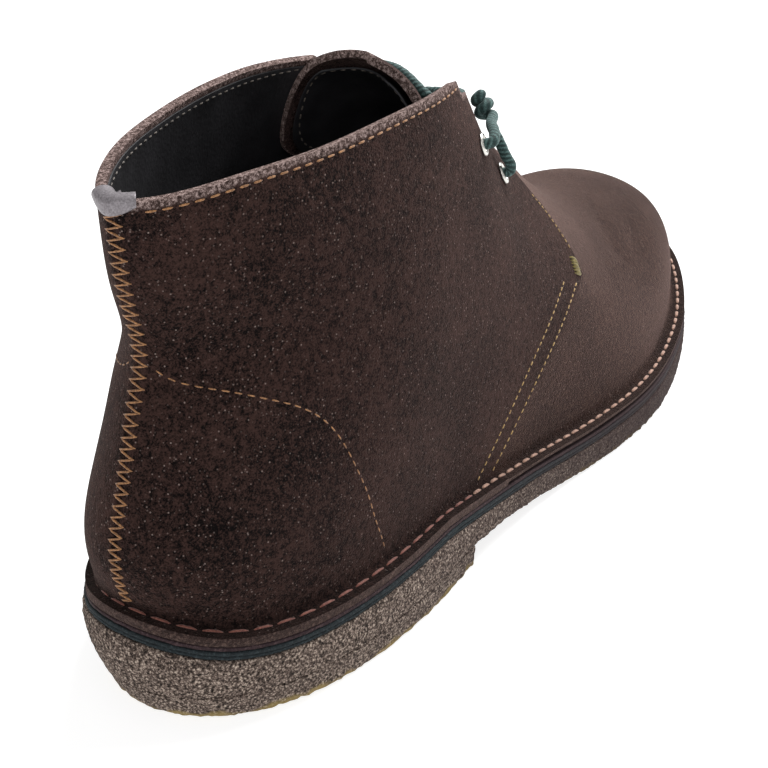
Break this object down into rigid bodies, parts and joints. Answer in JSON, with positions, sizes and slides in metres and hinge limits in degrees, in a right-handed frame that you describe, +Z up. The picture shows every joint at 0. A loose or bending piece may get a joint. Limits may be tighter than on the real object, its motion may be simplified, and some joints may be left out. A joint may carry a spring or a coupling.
{
  "type": "chukka boot",
  "caption": "Right-foot suede chukka boot with open lacing, a hollow one-piece upper, a loose tongue and a stitched-down crepe sole with a heel lift.",
  "frame": {"origin": "on the floor, at the centre of the boot's plan (midway heel to toe and side to side)", "axes": "+X towards the toe, +Y towards the inner side of the right foot, +Z up"},
  "size_m": [0.316, 0.1076, 0.1331],
  "materials": {
    "suede": "dark brown suede, napped and matt",
    "tongue_suede": "dark brown suede, napped and matt",
    "tab_fabric": "silver-grey woven binding",
    "midsole_rubber": "dark blue-grey, layered, matt",
    "crepe_rubber": "grey-brown crepe, coarse and granular",
    "sock_leather": "black fine-grained leather",
    "eyelet_steel": "satin",
    "lace_cord": "dark teal round braided cord"
  },
  "bodies": {
    "root": {"upper": "suede", "tongue": "tongue_suede", "heel_tab": "tab_fabric", "midsole": "midsole_rubber", "outsole": "crepe_rubber", "heel_lift": "crepe_rubber", "insole": "sock_leather", "eyelet_lower_outer": "eyelet_steel", "eyelet_lower_inner": "eyelet_steel", "eyelet_upper_outer": "eyelet_steel", "eyelet_upper_inner": "eyelet_steel", "lace_cross": "lace_cord", "lace_top": "lace_cord", "lace_knot": "lace_cord"}
  },
  "joints": []
}
